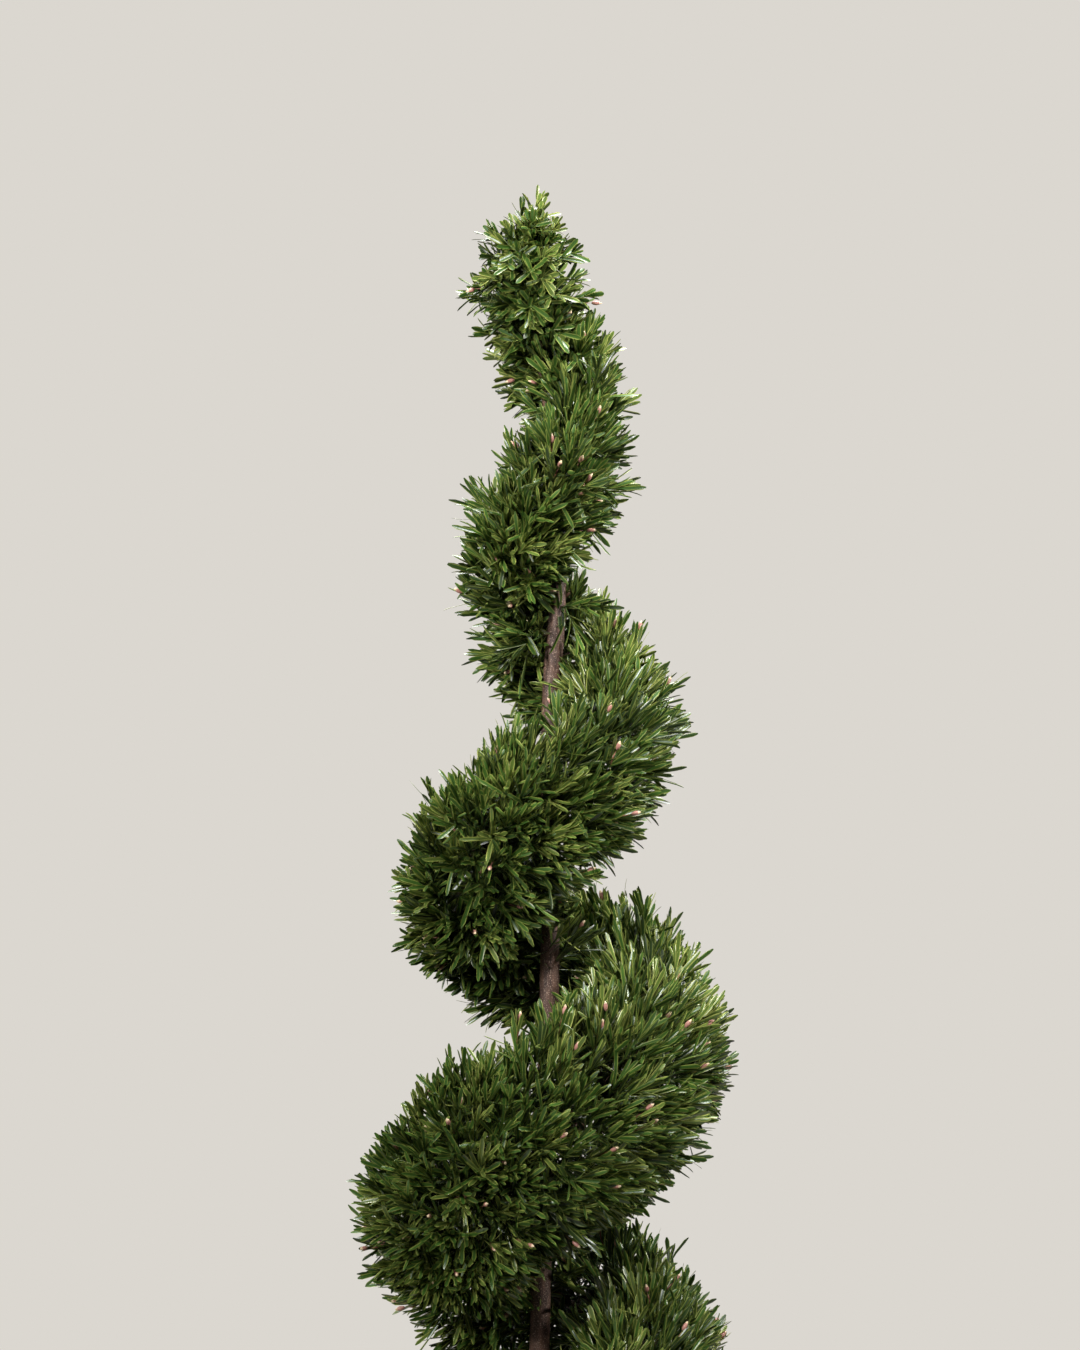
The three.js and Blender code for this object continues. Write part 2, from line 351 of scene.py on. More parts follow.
# The pole's centre line as a smooth curve by height.
def polePoint(height):
    line = np.array(pole["line"]) / 1000
    slopes = np.gradient(line[:, :2], line[:, 2], axis=0)
    i = np.clip(np.searchsorted(line[:, 2], height) - 1, 0, len(line) - 2)
    span = line[i + 1, 2] - line[i, 2]
    t = ((height - line[i, 2]) / span)[..., None]
    a, b = line[i, :2], line[i + 1, :2]
    m, n = slopes[i] * span[..., None], slopes[i + 1] * span[..., None]
    flat = ((2 * t**3 - 3 * t**2 + 1) * a + (t**3 - 2 * t**2 + t) * m
            + (3 * t**2 - 2 * t**3) * b + (t**3 - t**2) * n)
    return np.concatenate([flat, height[..., None]], -1)


def poleRadius(height):
    foot, top = pole["line"][0][2] / 1000, pole["line"][-1][2] / 1000
    body = pole["footRadius"] - pole["taper"] * (np.minimum(height, pole["leaderFrom"]) - foot)
    leader = np.clip((height - pole["leaderFrom"]) / (top - pole["leaderFrom"]), 0, 1)
    return body + (pole["leaderTip"] - body) * leader


def makePole():
    low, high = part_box("trunk")
    heights = np.linspace(low.z + pole["sunk"], high.z - pole["sunk"], pole["rings"])
    radii = poleRadius(heights) - pole["reliefRoom"] * pole["relief"][0]
    mesh = limbMesh("trunkBark", polePoint(heights), radii, resolution=8)
    addRelief(mesh, *pole["relief"])
    addPiece("trunkBark", mesh, [barkMaterial], ["trunk"])
    print("pole:", len(mesh.polygons), "faces")


makePole()

boughs = {
    "coreFrom": 0.02,
    "coreSteps": 360,
    "coreRadius": 0.0042,
    "coreTip": 0.0024,
    "coreSwells": (0, 1.5),  # turns
    "coreRelief": (0.0004, 200, 200),
    "firstSpoke": 0.283,  # turns, and so are the next two
    "spokeEvery": 0.5,
    "spokesEnd": 4.1,
    "spokeRadii": (0.0039, 0.0027),
    "spokeKnee": (0.6, 0.6, 0.15),  # it bends where it has gone these shares of its way out and up
    "spokeDrop": 0.45,  # a spoke leaves the pole lower than its end, by this share of the core's radius
    "spokeRelief": (0.0003, 220, 220),
    "footHeight": 0.178,
    "footKnee": 0.6,  # the share of its way out at which it bends up
    "footRise": 0.006,
    "footRadii": (0.006, 0.005),
    "footRelief": (0.0005, 200, 120),
}


# A bough that runs from its root to its end, bends towards its knee and tapers between two radii.
def bentBough(name, root, knee, end, radii, steps, resolution):
    t = np.linspace(0, 1, steps)[:, None]
    line = (1 - t) ** 2 * root + 2 * t * (1 - t) * knee + t**2 * end
    return limbMesh(name, line, np.linspace(*radii, steps), resolution)


# The brown core the band is built on, the short spokes that hold it to the pole, and the foot bough.
def makeBoughs():
    turns = np.linspace(boughs["coreFrom"], band["lastTurn"], boughs["coreSteps"])
    swell = smooth(*boughs["coreSwells"], turns)
    radii = boughs["coreTip"] + (boughs["coreRadius"] - boughs["coreTip"]) * swell
    core = limbMesh("spiralBough", tall(corePoint(turns)), radii, resolution=4)
    addRelief(core, *boughs["coreRelief"])
    addPiece("spiralBough", core, [barkMaterial], [])
    bm = bmesh.new()
    for turn in np.arange(boughs["firstSpoke"], boughs["spokesEnd"], boughs["spokeEvery"]):
        end = tall(corePoint(np.array(turn)))
        root = polePoint(np.array(end[2] - boughs["spokeDrop"] * coreRadius(turn)))
        knee = root + (end - root) * boughs["spokeKnee"]
        spoke = bentBough("spoke", root, knee, end, boughs["spokeRadii"], steps=14, resolution=3)
        bm.from_mesh(spoke)
    spokes = bpy.data.meshes.new("spokeBoughs")
    bm.to_mesh(spokes)
    bm.free()
    spokes.shade_smooth()
    addRelief(spokes, *boughs["spokeRelief"])
    addPiece("spokeBoughs", spokes, [barkMaterial], [])
    end = tall(corePoint(np.array(band["lastTurn"])))
    root = polePoint(np.array(boughs["footHeight"]))
    knee = root + (end - root) * boughs["footKnee"]
    knee[2] = root[2] + boughs["footRise"]
    foot = bentBough("footBoughBark", root, knee, end, boughs["footRadii"], steps=60, resolution=6)
    addRelief(foot, *boughs["footRelief"])
    addPiece("footBoughBark", foot, [barkMaterial], ["foot_bough"])
    print("boughs made")


makeBoughs()

growth = {
    "seed": 41,
    "twigCandidates": 1560,  # evenly spread over the band; those crowded on its inner side are thinned out
    "innerRoom": (0.85, 0.35),  # the least share kept there, at the tip and lower down
    "innerRoomEnds": (0.7, 1.3),  # turns between which that falls
    "tipTwigs": 22,
    "tailTwigs": 30,
    "twigClimb": 0.03,  # a twig leaves the core this many turns below the place it reaches
    "forkAt": (0.60, 0.22),  # and forks this far below the surface and downhill, over the band's radius
    "twigWander": (0.003, 0.004),  # halfway along and at the fork
    "spraysPerTwig": (3, 3, 3, 4),
    "spraySpread": 0.0145,  # how far round their twig's end the sprays' tips stand
    "spreadUneven": (0.75, 1.25),
    "lean": math.radians(45),  # the sprays lean uphill along the band
    "leanFrom": (-0.1, 0.5),  # and come to that lean between these turns
    "leanJitter": math.radians(6),
    "wander": 0.09,
    "sprayBend": 0.55,  # a spray has come round to its lean this share of its length before its tip
    "tipDepth": (0.0245, 0.006),  # how far the sprays' tips stop below the clipped surface, and how unevenly
    "depthLimits": (-0.006, 0.038),
    "strays": 0.05,  # this share of the sprays stands out past the rest
    "strayReach": 0.012,
    "topDrop": 0.014,  # the sprays at the very top stop this much lower
    "tuftEnds": (0.1, 0.5),  # the loose tip tuft passes into the clipped band between these turns
    "tuftDepth": (0.004, 0.007),  # how much deeper and more uneven its sprays' tips are
    "tuftStrays": 3,  # how many times more strays it has than the band, besides the band's own
    # sprigs that break from the pole itself: height, bearing in degrees, climb, and the turn they belong to
    "poleSprigs": ((1.172, -120, 0.1, 1.1), (1.150, -62, 0.0, 1.1), (1.128, -150, -0.2, 1.1),
                   (0.862, -70, 1.6, 2.3), (0.846, -105, 2.2, 2.3), (0.838, -35, 1.8, 2.3)),
    "sprigReach": (0.014, 0.024),  # a sprig's stalk, and its sprays beyond that
    "sprigSprays": 3,
    "sprigFan": 0.4,
}

rng = np.random.default_rng(growth["seed"])


# How much a turn belongs to the loose tuft at the tip.
def tuftShare(turn):
    return 1 - smooth(*growth["tuftEnds"], turn)


# The twigs' places on the band: turn, angle, lift and end. The steps are those of the plastic ratio and
# the golden angle, which spread points evenly.
def pickTwigs():
    turnStep, angleStep, goldenAngle = 0.7548776662, 0.5698402910, 2.39996
    count = growth["twigCandidates"]
    fine = np.linspace(0, band["lastTurn"], 1200)
    step = np.linalg.norm(np.gradient(tall(corePoint(fine)), axis=0), axis=1)
    run = np.cumsum(step * bandRadius(fine))
    i = np.arange(count)
    turn = np.interp((0.5 + turnStep * i) % 1 * run[-1], run, fine)
    angle = 2 * np.pi * ((0.5 + angleStep * i) % 1)
    pitch = (band["firstPitch"] + 2 * band["pitchGrowth"] * turn) / band["ovalHeight"] / (2 * np.pi)
    bend = coreRadius(turn) / (coreRadius(turn) ** 2 + pitch**2)
    room = (1 + bandRadius(turn) * bend * np.cos(angle)) / (1 + bandRadius(turn) * bend)
    leastRoom = np.interp(turn, growth["innerRoomEnds"], growth["innerRoom"])
    kept = rng.random(count) < np.maximum(room, leastRoom)
    ends = []
    for number, at, end in ((growth["tipTwigs"], 0, -1), (growth["tailTwigs"], band["lastTurn"], 1)):
        k = np.arange(number)
        lift = np.arcsin((k + 0.5) / number)
        ends.append(np.stack([np.full(number, at), k * goldenAngle, lift, np.full(number, end)], 1))
    sides = np.stack([turn, angle, np.zeros(count), np.zeros(count)], 1)[kept]
    return np.concatenate([sides, *ends])


# Each twig leaves the core, forks below the surface, and its sprays curve out to their tips there.
def growSprays():
    twigs = pickTwigs()
    place, away, uphill = bandPoint(*twigs.T)
    radius = bandRadius(twigs[:, 0])
    deep, downhill = growth["forkAt"]
    fork = place - away * (deep * radius)[:, None] - uphill * (downhill * radius)[:, None]
    halfWander, forkWander = growth["twigWander"]
    fork += rng.normal(0, forkWander, fork.shape)
    climb = growth["twigClimb"]
    foot = tall(corePoint(np.clip(twigs[:, 0] + climb, climb, band["lastTurn"])))
    twigPaths = np.stack([foot, (foot + fork) / 2 + rng.normal(0, halfWander, fork.shape), fork], 1)
    each = rng.integers(0, len(growth["spraysPerTwig"]), len(twigs))
    each = np.array(growth["spraysPerTwig"])[each]
    owner = np.repeat(np.arange(len(twigs)), each)
    number = np.arange(len(owner)) - np.repeat(np.cumsum(each) - each, each)
    turnBy = rng.random(len(twigs))[owner] * 2 * np.pi + number * 2 * np.pi / each[owner]
    least, most = growth["spreadUneven"]
    spread = growth["spraySpread"] * (least + (most - least) * rng.random(len(owner)))
    across = unit(np.cross(uphill, away))[owner]
    ahead = np.cross(away[owner], across)
    shift = across * (spread * np.cos(turnBy))[:, None] + ahead * (spread * np.sin(turnBy))[:, None]
    away = unit(away[owner] + shift / radius[owner, None])
    tuft = tuftShare(twigs[owner, 0])
    depth = rng.normal(*growth["tipDepth"], len(owner)) + tuft * rng.normal(*growth["tuftDepth"], len(owner))
    stray = rng.random(len(owner)) < growth["strays"] * (1 + growth["tuftStrays"] * tuft)
    depth = np.clip(depth - growth["strayReach"] * (1 + tuft) * stray, *growth["depthLimits"])
    depth += spread**2 / (2 * radius[owner])
    atTop = np.maximum(0, away[:, 2]) * (twigs[owner, 3] < 0)
    depth += growth["topDrop"] * atTop**2
    tip = place[owner] + shift - away * depth[:, None]
    lean = growth["lean"] * smooth(*growth["leanFrom"], twigs[owner, 0])
    lean += rng.normal(0, growth["leanJitter"], len(owner))
    heading = away * np.cos(lean)[:, None] + uphill[owner] * np.sin(lean)[:, None]
    heading = unit(heading + rng.normal(0, growth["wander"], heading.shape))
    grown = {"twigPaths": twigPaths, "start": fork[owner], "tip": tip, "heading": heading,
             "turn": twigs[owner, 0], "owner": owner, "away": away}
    sprigs = growSprigs(len(twigs))
    return {key: np.concatenate([grown[key], sprigs[key]]) for key in grown}


# The few sprigs that break from the pole where it shows: a short stalk each, and sprays that fan out.
def growSprigs(firstOwner):
    height, bearing, climb, turn = np.array(growth["poleSprigs"]).T
    bearing = np.radians(bearing)
    stalk, reach = growth["sprigReach"]
    out = unit(np.stack([np.cos(bearing), np.sin(bearing), climb], 1))
    foot = polePoint(height)
    fork = foot + out * stalk
    owner = np.repeat(np.arange(len(height)), growth["sprigSprays"])
    heading = unit(out[owner] + rng.normal(0, growth["sprigFan"], (len(owner), 3)))
    return {"twigPaths": np.stack([foot, (foot + fork) / 2, fork], 1), "start": fork[owner],
            "tip": fork[owner] + heading * reach, "heading": heading, "turn": turn[owner],
            "owner": firstOwner + owner, "away": heading}


sprays = growSprays()
sprayCount = len(sprays["tip"])
print("twigs:", len(sprays["twigPaths"]), "sprays:", sprayCount)


# Every spray's line swings from its fork round to its heading at the tip. This gives the place and the
# way along, at a share t of the line.
def sprayPoint(t):
    start, tip = sprays["start"], sprays["tip"]
    reach = np.linalg.norm(tip - start, axis=1, keepdims=True)
    bendAt = tip - sprays["heading"] * growth["sprayBend"] * reach
    place = (1 - t) ** 2 * start + 2 * t * (1 - t) * bendAt + t * t * tip
    return place, unit(2 * (1 - t) * (bendAt - start) + 2 * t * (tip - bendAt))


stems = {
    "twigRadius": 0.0013,
    "twigTaper": (1.0, 0.85, 0.6),
    "sprayRadius": 0.0008,
    "sprayRows": (0.0, 0.4, 0.75, 1.0),  # places along a spray, and how thick it is at each
    "sprayTaper": (1.0, 0.9, 0.7, 0.0),
    "twigBrown": "#4a3a26",
    "stemGreen": "#47602a",
    "mottle": 220,
}


def makeTwigs():
    # Paper-wrapped florist's wire: dull brown and a little rough.
    woody, tree, shader = newMaterial("wrappedTwig", stems["twigBrown"], 0.7)
    place = addNode(tree, "ShaderNodeTexCoord").outputs["Object"]
    mottle = addNode(tree, "ShaderNodeTexNoise", values={"Scale": stems["mottle"], "Detail": 3},
                     links={"Vector": place})
    bump = addNode(tree, "ShaderNodeBump", values={"Strength": 0.3, "Distance": 0.0003},
                   links={"Height": mottle.outputs["Fac"]})
    tree.links.new(bump.outputs["Normal"], shader.inputs["Normal"])
    # Moulded green stems, with a low shine.
    green = newMaterial("mouldedStem", stems["stemGreen"], 0.5)[0]
    paths = sprays["twigPaths"]
    radii = stems["twigRadius"] * np.tile(stems["twigTaper"], (len(paths), 1))
    addPiece("twigs", joinedStems("twigs", paths, radii), [woody], [])
    paths = np.stack([sprayPoint(t)[0] for t in stems["sprayRows"]], 1)
    radii = stems["sprayRadius"] * np.tile(stems["sprayTaper"], (sprayCount, 1))
    addPiece("sprayStems", joinedStems("sprayStems", paths, radii), [green], [])
    print("twigs and stems made")


makeTwigs()

leaf = {
    "length": (0.036, 0.028),  # from the foot of a spray to its tip
    "width": 0.0037,
    "widthUneven": (0.85, 1.15),
    "nodes": 5,  # pairs of leaves, each turned a quarter from the last
    "reach": (0.34, 0.96),  # the share of a spray's line that carries leaves
    "spread": (30, 12),  # degrees from the stem, from the foot of a spray to its tip
    "spreadJitter": 6,
    "aroundJitter": 0.25,  # radians
    "slip": 0.002,  # along the stem
    "uneven": (0.75, 1.1),  # lengths over the usual one
    "strays": 0.04,  # this share of the leaves stands out sideways
    "strayAngles": (0.8, 1.5),  # radians
    "crown": 3,  # leaves in the tuft at a spray's tip
    "crownLength": (0.017, 0.026),
    "crownSpread": (13, 7),
    "crownJitter": 0.3,
    "youngShare": 0.7,  # this share of the crowns' leaves is a shade lighter than their spray
    "rim": 0.15,  # the rim's share of the width, each side; its paler green is partly the leaf's own and partly a painted highlight along the raised edge
    "rimRise": 0.07,  # how far the rims stand up, over the width
    "rows": ((0.0, 0.45), (0.42, 0.86), (0.86, 1.0), (1.0, 0.60)),  # place along it and width there
    "tipRounding": 0.05,
    "tipDrawn": 0.7,  # the blade narrows to this at the tip
    "bends": (-0.26, -0.13, -0.04, 0.06, 0.17, 0.34),  # how far the tip curls, over the length
    "faceJitter": 0.22,
    "inner": 7,  # leaves along each twig, deep in the band
    "innerReach": (0.16, 0.96),
    "innerTurn": 2.4,  # radians from one to the next
    "innerJitter": 2,
    "innerLength": (0.024, 0.032),
    "innerSpread": (60, 12),
    "tuftEnds": (0, 0.5),  # the tip tuft's leaves are shorter, broader and more open than the band's
    "tuftLength": 0.64,
    "tuftWidth": 1.15,
    "tuftSpread": 24,
    "roughness": 0.32,
    "shine": 0.55,
}


# A narrow channelled leaf with a rounded tip, a unit long and wide: a blade between two raised rims.
def leafShape():
    rows, rim = leaf["rows"], leaf["rim"]
    bm = bmesh.new()
    bmesh.ops.create_grid(bm, x_segments=3, y_segments=len(rows) - 1, size=0.5)
    for v in bm.verts:
        column, row = round((v.co.x + 0.5) * 3), round((v.co.y + 0.5) * (len(rows) - 1))
        t, wide = rows[row]
        outer = column in (0, 3)
        x = math.copysign(0.5 if outer else 0.5 - rim, v.co.x) * wide
        if row == len(rows) - 1:
            x, t = (x, t - leaf["tipRounding"]) if outer else (leaf["tipDrawn"] * x, t)
        v.co = (x, t, leaf["rimRise"] if outer else 0)
    return readShape(bm, lambda face: int(abs(face.calc_center_median().x) > rim))


# Where every leaf goes: its foot, the way it points, the way it faces, its length and its spray.
def placeLeaves():
    rows = []
    first = rng.random(sprayCount) * 2 * np.pi
    opened = leaf["tuftSpread"] * tuftShare(sprays["turn"])
    for j, t in enumerate(np.linspace(*leaf["reach"], leaf["nodes"])):
        at, stem = sprayPoint(t)
        for half in (0, np.pi):
            around = first + j * np.pi / 2 + half + rng.normal(0, leaf["aroundJitter"], sprayCount)
            spread = np.interp(t, leaf["reach"], leaf["spread"]) + opened
            spread = np.radians(spread + rng.normal(0, leaf["spreadJitter"], sprayCount))
            stray = rng.random(sprayCount) < leaf["strays"]
            spread = np.where(stray, rng.uniform(*leaf["strayAngles"], sprayCount), spread)
            length = np.interp(t, leaf["reach"], leaf["length"]) * rng.uniform(*leaf["uneven"], sprayCount)
            foot = at + stem * rng.normal(0, leaf["slip"], (sprayCount, 1))
            rows.append((foot, stem, around, spread, length))
    at, stem = sprayPoint(1.0)
    for k in range(leaf["crown"]):
        around = first + k * 2 * np.pi / leaf["crown"] + rng.normal(0, leaf["crownJitter"], sprayCount)
        spread = np.radians(np.abs(rng.normal(*leaf["crownSpread"], sprayCount)))
        rows.append((at, stem, around, spread, rng.uniform(*leaf["crownLength"], sprayCount)))
    owner = [np.tile(np.arange(sprayCount), len(rows))]
    paths = sprays["twigPaths"]
    firstSpray = np.searchsorted(sprays["owner"], np.arange(len(paths)))
    for k, t in enumerate(np.linspace(*leaf["innerReach"], leaf["inner"])):
        at = paths[:, 0] + (paths[:, 2] - paths[:, 0]) * t
        around = k * leaf["innerTurn"] + rng.random(len(paths)) * leaf["innerJitter"]
        spread = np.radians(rng.normal(*leaf["innerSpread"], len(paths)))
        length = rng.uniform(*leaf["innerLength"], len(paths))
        rows.append((at, unit(paths[:, 2] - paths[:, 0]), around, spread, length))
        owner.append(firstSpray)
    at, stem, around, spread, length = (np.concatenate(column) for column in zip(*rows))
    oddWay = np.array([0.37, -0.22, 0.9])  # no stem runs this way
    side = unit(np.cross(stem, oddWay))
    outward = side * np.cos(around)[:, None] + np.cross(stem, side) * np.sin(around)[:, None]
    along = stem * np.cos(spread)[:, None] + outward * np.sin(spread)[:, None]
    face = stem * np.sin(spread)[:, None] - outward * np.cos(spread)[:, None]
    face = unit(face + rng.normal(0, leaf["faceJitter"], face.shape))
    return at, along, face, length, np.concatenate(owner)


greens = {  # blade, rim and share of the sprays, from old leaves to young ones; the first green also serves as painted shade on the leaves deep inside the band
    "leavesDeep": ("#203011", "#566029", 0.10),
    "leavesForest": ("#283e15", "#656e31", 0.23),
    "leavesGarden": ("#304c1a", "#737d39", 0.25),
    "leavesFresh": ("#3a5820", "#828b42", 0.19),
    "leavesOlive": ("#475724", "#8b9147", 0.14),
    "leavesLime": ("#55692b", "#9a9f54", 0.09),
}


# Moulded polyethylene: smooth, and glossy enough for white glints along a leaf's groove.
def leafPlastic(name, colour):
    return newMaterial(name, colour, leaf["roughness"], Specular_IOR_Level=leaf["shine"])[0]


# Each spray's leaves share one green, and each green is one piece.
def makeLeaves():
    shape = leafShape()
    at, along, face, length, spray = placeLeaves()
    broad = np.interp(sprays["turn"], leaf["tuftEnds"], (leaf["tuftWidth"], 1))[spray]
    length = length * np.interp(sprays["turn"], leaf["tuftEnds"], (leaf["tuftLength"], 1))[spray]
    turns = turnsOf(along, face)
    width = leaf["width"] * rng.uniform(*leaf["widthUneven"], len(at)) * broad
    bend = np.array(leaf["bends"])[rng.integers(0, len(leaf["bends"]), len(at))]
    x, t, rise = np.moveaxis(shape["coords"], -1, 0)
    local = np.stack([x * width[:, None], t * length[:, None],
                      rise * width[:, None] + (bend * length)[:, None] * t * t], -1)
    edges = np.cumsum([share for *_, share in greens.values()])
    tone = np.searchsorted(edges, rng.random(sprayCount) * edges[-1])[spray]
    # most of the crowns' leaves are a shade lighter, and the inner ones, deep in the band, all take the
    # darkest green as painted shade
    crownFrom = 2 * leaf["nodes"] * sprayCount
    innerFrom = crownFrom + leaf["crown"] * sprayCount
    young = rng.random(len(at)) < leaf["youngShare"]
    young[:crownFrom] = False
    tone = np.minimum(tone + young, len(greens) - 1)
    tone[innerFrom:] = 0
    # each green's rim is paler than its blade, partly its own colour and partly a painted highlight along
    # the raised edge
    for i, (name, (blade, rim, _)) in enumerate(greens.items()):
        plastics = [leafPlastic(name + "Blade", blade), leafPlastic(name + "Rim", rim)]
        chosen = np.flatnonzero(tone == i)
        own = dict(shape, coords=local[chosen])
        mesh = joinedCopies(name, own, np.arange(len(chosen)), turns[chosen], at[chosen])
        addPiece(name, mesh, plastics, foliageNodes if i == 0 else [])
        print(name, len(chosen), "leaves")


makeLeaves()

bud = {
    "every": 8,
    "fewEnds": (0.3, 0.8),  # the tip tuft has fewer, and the full number comes between these turns
    "fewShare": 0.4,
    "foot": 0.92,  # the share of a spray's line at which its bud's stalk leaves it
    "sway": 0.2,
    "reach": (0.010, 0.020),
    "stalk": 0.0008,
    "stalkWander": 0.0008,
    "stalkTaper": (1.0, 1.0, 0.9),
    "length": 0.0092,
    "radius": 0.0020,
    "taper": 0.35,
    "creamFrom": 0.75,
    "stalkPink": "#8c5a4c",
    "pink": "#a8776a",
    "cream": "#cfb795",
}


# Small bullet-shaped buds on fine pink stalks, one to every few sprays.
def makeBuds():
    few = np.interp(sprays["turn"], bud["fewEnds"], (bud["fewShare"], 1))
    chosen = np.flatnonzero(rng.random(sprayCount) < few / bud["every"])
    count = len(chosen)
    at, stem = sprayPoint(bud["foot"])
    at, stem = at[chosen], stem[chosen]
    heading = unit(stem + rng.normal(0, bud["sway"], (count, 3)))
    top = at + heading * rng.uniform(*bud["reach"], (count, 1))
    mid = (at + top) / 2 + rng.normal(0, bud["stalkWander"], (count, 3))
    # Moulded stalks: dull pink, with a low shine.
    stalkPink = newMaterial("pinkStalk", bud["stalkPink"], 0.5)[0]
    paths = np.stack([at, mid, top], 1)
    radii = bud["stalk"] * np.tile(bud["stalkTaper"], (count, 1))
    addPiece("budStalks", joinedStems("budStalks", paths, radii), [stalkPink], [])
    bm = bmesh.new()
    bmesh.ops.create_uvsphere(bm, u_segments=7, v_segments=6, radius=1)
    for v in bm.verts:  # a blunt foot and a drawn-out tip
        long = v.co.z
        radius = bud["radius"] * (1 - bud["taper"] * max(0, long))
        v.co = (v.co.x * radius, (long + 1) * bud["length"] / 2, v.co.y * radius)
    bmesh.ops.recalc_face_normals(bm, faces=bm.faces)
    creamFrom = bud["creamFrom"] * bud["length"]
    shape = readShape(bm, lambda face: int(face.calc_center_median().y > creamFrom))
    turns = turnsOf(heading, rng.normal(0, 1, (count, 3)))
    # Moulded buds: dusty pink below, cream at the tip, with a low shine.
    pink = newMaterial("budPink", bud["pink"], 0.45)[0]
    cream = newMaterial("budCream", bud["cream"], 0.45)[0]
    mesh = joinedCopies("buds", shape, np.zeros(count, int), turns, top)
    addPiece("buds", mesh, [pink, cream], [])
    print("buds:", count)


makeBuds()

wisp = {
    "count": 260,
    "foot": 0.9,  # the share of a spray's line at which it starts
    "length": (0.014, 0.030),
    "radius": 0.00028,
    "taper": (1, 1, 0.9, 0.8, 0.6, 0),
    "alongStem": 0.6,  # how much it follows the stem, and for the rest the way out of the band
    "sway": 0.3,
    "curl": 0.6,
    "curlJitter": 0.35,
    "green": "#5a6a3a",
}


# Fine stray strands of moulding flash that curl out past the leaves.
def makeWisps():
    chosen = rng.choice(sprayCount, wisp["count"], replace=False)
    at, stem = sprayPoint(wisp["foot"])
    at, stem = at[chosen], stem[chosen]
    follow = wisp["alongStem"]
    heading = follow * stem + (1 - follow) * sprays["away"][chosen]
    heading = unit(heading + rng.normal(0, wisp["sway"], at.shape))
    curl = rng.normal(0, wisp["curlJitter"], at.shape) * wisp["curl"]
    length = rng.uniform(*wisp["length"], (len(at), 1))
    steps = np.linspace(0, 1, len(wisp["taper"]))
    paths = np.stack([at + length * (t * heading + t * t * curl) for t in steps], 1)
    radii = wisp["radius"] * np.tile(wisp["taper"], (len(at), 1))
    # Thin polyethylene flash: pale green, with a soft shine.
    strand = newMaterial("mouldingStrand", wisp["green"], 0.4)[0]
    addPiece("wisps", joinedStems("wisps", paths, radii), [strand], [])
    print("wisps:", wisp["count"])


makeWisps()

pot = {
    "height": 0.150,
    "footRadius": 0.078,
    "rimRadius": 0.104,
    "wall": 0.003,
    "rimBand": 0.014,
    "rimProud": 0.0035,
    "footEdge": 0.003,  # the radii of its rounded edges
    "grooveEdge": 0.0012,
    "bandEdge": 0.0018,
    "lipEdge": 0.0015,
    "grooveAt": (0.0015, 0.0002),  # the groove's centre, out from the wall and up from the rim band's foot
    "bandRise": 0.002,  # from the groove's top to the middle of the band's lower edge
    "insideCorner": 0.002,
    "segments": 128,
    "charcoal": ("#2c2c2d", "#3c3c3d"),
    "roughness": (0.42, 0.6),
    "cloud": 14,  # soft changes of tone, about 70 mm across
    "sparks": 1400,  # the mould's fine texture, about 0.7 mm
}


# Points on a round edge, between two angles in degrees.
def arc(x, z, radius, start, end, steps=6):
    angles = np.radians(np.linspace(start, end, steps))
    return [(x + radius * math.cos(a), z + radius * math.sin(a)) for a in angles]


# A profile of radii and heights turned round the vertical axis.
def spun(name, profile, segments):
    bm = bmesh.new()
    verts = [bm.verts.new((x, 0, z)) for x, z in profile]
    edges = [bm.edges.new(pair) for pair in zip(verts, verts[1:])]
    bmesh.ops.spin(bm, geom=verts + edges, cent=(0, 0, 0), axis=(0, 0, 1), angle=2 * math.pi,
                   steps=segments, use_merge=True)
    bmesh.ops.remove_doubles(bm, verts=bm.verts, dist=1e-6)
    bmesh.ops.recalc_face_normals(bm, faces=bm.faces)
    mesh = bpy.data.meshes.new(name)
    bm.to_mesh(mesh)
    bm.free()
    mesh.shade_smooth()
    return mesh


def potRadiusAt(height):
    return pot["footRadius"] + (pot["rimRadius"] - pot["footRadius"]) * height / pot["height"]


